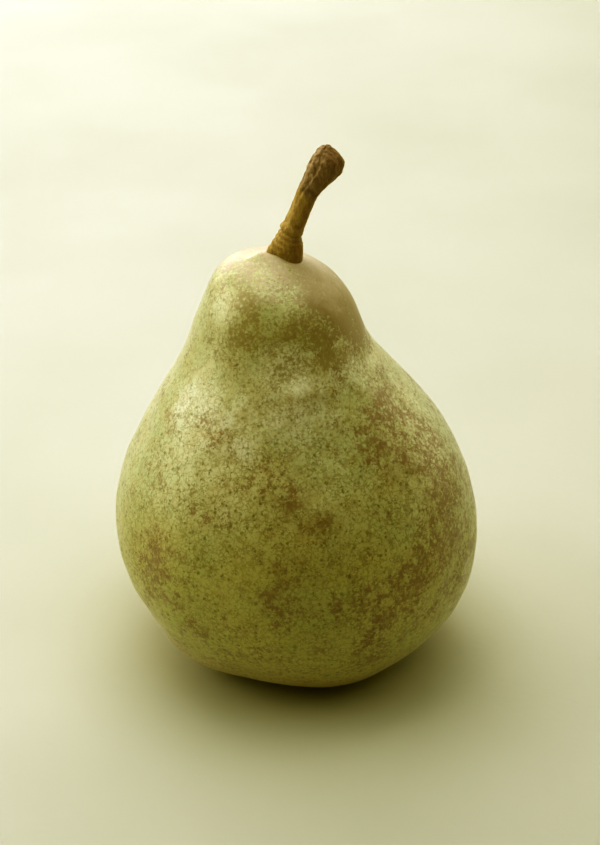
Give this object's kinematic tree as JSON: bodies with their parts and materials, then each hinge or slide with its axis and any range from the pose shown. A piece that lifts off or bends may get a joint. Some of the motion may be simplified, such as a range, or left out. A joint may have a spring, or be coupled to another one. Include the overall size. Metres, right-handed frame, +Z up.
{
  "type": "pear",
  "caption": "Whole ripe pear with a squat five-lobed body, a short leaning neck and a knobbed woody stem, standing on its base.",
  "frame": {"origin": "on the surface that the pear stands on, under the middle of the fruit's outline", "axes": "+Z up from the base towards the stem; +X towards the side that the stem's knob leans to; -Y is the front"},
  "size_m": [0.0821, 0.0824, 0.1223],
  "materials": {
    "fruit_skin": "satin",
    "stem_bark": "matte",
    "dried_sepal": "matte"
  },
  "bodies": {
    "root": {"fruit": "fruit_skin", "stem": "stem_bark", "sepal_1": "dried_sepal", "sepal_2": "dried_sepal", "sepal_3": "dried_sepal", "sepal_4": "dried_sepal", "sepal_5": "dried_sepal"}
  },
  "joints": []
}
